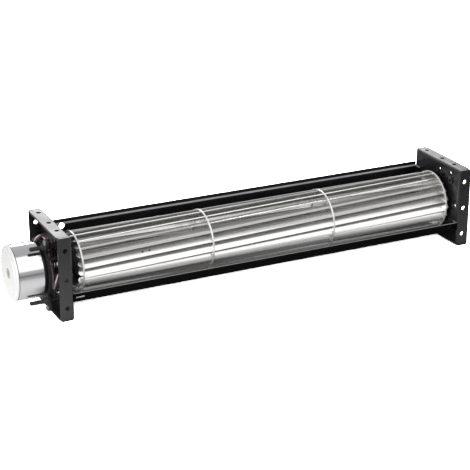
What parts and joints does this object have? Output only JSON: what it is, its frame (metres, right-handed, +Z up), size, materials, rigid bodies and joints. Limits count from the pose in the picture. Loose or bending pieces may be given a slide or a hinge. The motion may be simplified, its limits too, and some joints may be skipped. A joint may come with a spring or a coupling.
{
  "type": "cross flow fan",
  "caption": "Cross flow fan with a long skewed-blade aluminium rotor between two black folded trays, and a small can motor on rubber mounts at one end.",
  "frame": {"origin": "middle of the whole fan's footprint, on the plane that the two trays stand on", "axes": "+X along the rotor from the motor end to the bearing end, +Y from the front strip to the rear guide plate, +Z up"},
  "size_m": [0.2714, 0.0474, 0.0465],
  "materials": {
    "paint": "satin black paint",
    "rotor_metal": "satin",
    "can_steel": "polished, drawn",
    "cap_metal": "matt satin",
    "screw_steel": "zinc plated",
    "rivet_steel": "painted over",
    "shaft_steel": "ground",
    "hub_metal": "turned",
    "base_plastic": "moulded, black",
    "washer_plastic": "moulded",
    "board": "glass fibre board",
    "mount_rubber": "moulded",
    "bearing_rubber": "moulded",
    "sintered": "sintered, matt",
    "stator_iron": "laminated iron",
    "magnet_iron": "ferrite",
    "white_pvc": "insulation",
    "red_pvc": "insulation",
    "black_pvc": "insulation"
  },
  "bodies": {
    "frame": {"motor_end_bracket": "paint", "bearing_end_bracket": "paint", "rear_guide_plate": "paint", "front_guide_strip": "paint", "rear_plate_rivets": "rivet_steel", "front_strip_rivets": "rivet_steel", "motor_can": "can_steel", "motor_end_cap": "cap_metal", "motor_bearing_outer": "sintered", "motor_bearing_inner": "sintered", "motor_stator": "stator_iron", "motor_board": "board", "motor_flange": "rivet_steel", "motor_base": "base_plastic", "motor_screws": "screw_steel", "motor_mount_1": "mount_rubber", "motor_mount_2": "mount_rubber", "motor_mount_3": "mount_rubber", "lead_white": "white_pvc", "lead_red": "red_pvc", "lead_black": "black_pvc", "lead_tie": "black_pvc", "bearing_mount": "bearing_rubber", "bearing_bush": "sintered"},
    "rotor": {"motor_shaft": "shaft_steel", "motor_magnet": "magnet_iron", "drive_hub": "bearing_rubber", "coupling_sleeve": "bearing_rubber", "rotor_disc_drive_end": "rotor_metal", "rotor_disc_middle_1": "rotor_metal", "rotor_disc_middle_2": "rotor_metal", "rotor_disc_bearing_end": "rotor_metal", "stub_hub": "hub_metal", "stub_shaft": "shaft_steel", "thrust_washer": "washer_plastic", "retaining_ring": "screw_steel", "blade_01": "rotor_metal", "blade_02": "rotor_metal", "blade_03": "rotor_metal", "blade_04": "rotor_metal", "blade_05": "rotor_metal", "blade_06": "rotor_metal", "blade_07": "rotor_metal", "blade_08": "rotor_metal", "blade_09": "rotor_metal", "blade_10": "rotor_metal", "blade_11": "rotor_metal", "blade_12": "rotor_metal", "blade_13": "rotor_metal", "blade_14": "rotor_metal", "blade_15": "rotor_metal", "blade_16": "rotor_metal", "blade_17": "rotor_metal", "blade_18": "rotor_metal", "blade_19": "rotor_metal", "blade_20": "rotor_metal"}
  },
  "joints": [
    {"name": "rotor_spin", "type": "hinge", "parent": "frame", "child": "rotor", "pos_m": [0, 0, 0.02235], "axis": [1, 0, 0], "continuous": true}
  ]
}
